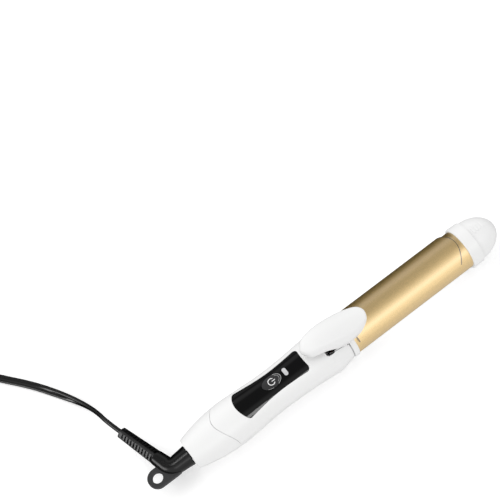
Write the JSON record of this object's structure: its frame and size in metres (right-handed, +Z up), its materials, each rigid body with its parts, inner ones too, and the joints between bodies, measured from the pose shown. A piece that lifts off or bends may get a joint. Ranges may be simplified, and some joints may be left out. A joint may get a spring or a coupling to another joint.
{
  "type": "travel hair curling iron",
  "caption": "Travel-size hair curling iron: gold heated barrel, sprung clamp with thumb lever, white handle with control panel, angled swivel cord with hang loop and mains plug.",
  "frame": {"origin": "on the resting plane under the middle of the iron, halfway between the handle's rear face and the tip of the barrel's cap", "axes": "+X along the barrel from the handle's rear to the tip, +Z up through the thumb lever, so +Y is to the left when looking towards the tip"},
  "size_m": [0.39, 0.1789, 0.0363],
  "materials": {
    "white_shell": "gloss",
    "black_panel": "gloss",
    "grey_button": "satin",
    "clear_lens": "gloss",
    "board_green": "satin",
    "switch_body": "matte",
    "gold_barrel": "satin",
    "gold_clamp": "satin",
    "heater_metal": "matte",
    "ptc_ceramic": "matte",
    "brass_strip": "satin",
    "mica": "satin",
    "fuse_metal": "satin",
    "wire_red": "satin",
    "wire_white": "satin",
    "screw_steel": "satin",
    "sheet_steel": "satin",
    "spring_steel": "satin",
    "black_moulding": "matte",
    "cord_black": "satin",
    "brass_blade": "satin"
  },
  "bodies": {
    "cord_side": {"swivel_bush": "black_moulding", "swivel_clip": "sheet_steel", "cord_elbow": "black_moulding", "power_cord_lead": "cord_black", "cord_coil": "cord_black", "power_cord_tail": "cord_black", "plug_body": "black_moulding", "plug_blade_left": "brass_blade", "plug_blade_right": "brass_blade"},
    "handle": {"lower_shell": "white_shell", "upper_shell": "white_shell", "barrel_collar": "white_shell", "tip_cap": "white_shell", "control_panel": "black_panel", "indicator_lens": "clear_lens", "circuit_board": "board_green", "power_switch": "switch_body", "indicator_led": "clear_lens", "barrel_tube": "gold_barrel", "heater_core_upper": "heater_metal", "heater_core_lower": "heater_metal", "ptc_heater": "ptc_ceramic", "electrode_upper": "brass_strip", "electrode_lower": "brass_strip", "mica_sheet_upper": "mica", "mica_sheet_lower": "mica", "thermal_fuse": "fuse_metal", "supply_lead_far": "wire_red", "supply_lead_near": "wire_white", "heater_lead_far": "wire_red", "heater_lead_near": "wire_white", "handle_screw_rear": "screw_steel", "handle_screw_front": "screw_steel", "pivot_bracket": "sheet_steel", "bracket_screw": "screw_steel", "pivot_pin": "sheet_steel", "torsion_spring": "spring_steel"},
    "lever": {"thumb_lever": "white_shell", "clamp": "gold_clamp", "clamp_rivet_rear": "screw_steel", "clamp_rivet_front": "screw_steel"},
    "button": {"power_button": "grey_button"}
  },
  "joints": [
    {"name": "cord_swivel", "type": "hinge", "parent": "cord_side", "child": "handle", "pos_m": [-0.1145, 0, 0.014], "axis": [1, 0, 0], "range_deg": [-150, 150]},
    {"name": "lever_pivot", "type": "hinge", "parent": "handle", "child": "lever", "pos_m": [-0.0105, 0, 0.0244], "axis": [0, -1, 0], "range_deg": [0, 18], "stiffness_Nm_per_rad": 0.3, "springref_deg": -14.32},
    {"name": "button_press", "type": "slide", "parent": "handle", "child": "button", "axis": [0, 0, -1], "range_m": [0, 0.0008], "stiffness_N_per_m": 600, "springref_m": -0.0008}
  ]
}
